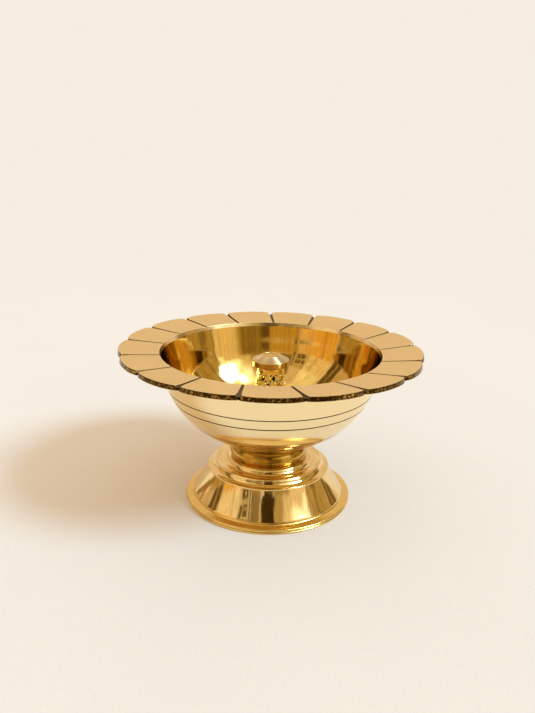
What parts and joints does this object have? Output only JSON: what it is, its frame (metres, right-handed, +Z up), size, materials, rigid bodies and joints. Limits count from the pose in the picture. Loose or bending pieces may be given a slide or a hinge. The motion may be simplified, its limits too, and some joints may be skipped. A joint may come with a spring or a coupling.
{
  "type": "pedestal diya oil lamp",
  "caption": "Brass oil lamp: a round bowl with a rim of flat petals on a short neck and stepped bell foot, with a pierced wick holder and cap standing in the bowl.",
  "frame": {"origin": "on the table plane, at the centre of the foot", "axes": "+Z up along the axis that the foot, the bowl and the wick holder are turned on; -Y towards the viewer and +X to the viewer's right in the picture"},
  "size_m": [0.1396, 0.1395, 0.0754],
  "materials": {
    "polished_brass": "polished",
    "satin_brass": "satin",
    "engraved_brass": "polished",
    "drawn_brass": "satin",
    "plated_steel": "satin",
    "red_fibre": "matte"
  },
  "bodies": {
    "pedestal": {"pedestal_foot": "polished_brass", "neck_collar": "polished_brass", "centre_stud": "plated_steel", "foot_washer": "plated_steel", "spring_washer": "plated_steel", "foot_nut": "plated_steel"},
    "bowl": {"petal_bowl": "polished_brass", "sealing_washer": "red_fibre"},
    "wick_holder": {"wick_holder_base": "drawn_brass", "wick_cage": "engraved_brass"},
    "wick_lid": {"wick_cap": "satin_brass"}
  },
  "joints": [
    {"name": "bowl_lift", "type": "slide", "parent": "pedestal", "child": "bowl", "axis": [0, 0, 1], "range_m": [0, 0.012]},
    {"name": "wick_holder_lift", "type": "slide", "parent": "bowl", "child": "wick_holder", "axis": [0, 0, 1], "range_m": [0, 0.048]},
    {"name": "cap_lift", "type": "slide", "parent": "wick_holder", "child": "wick_lid", "axis": [0, 0, 1], "range_m": [0, 0.02]}
  ]
}
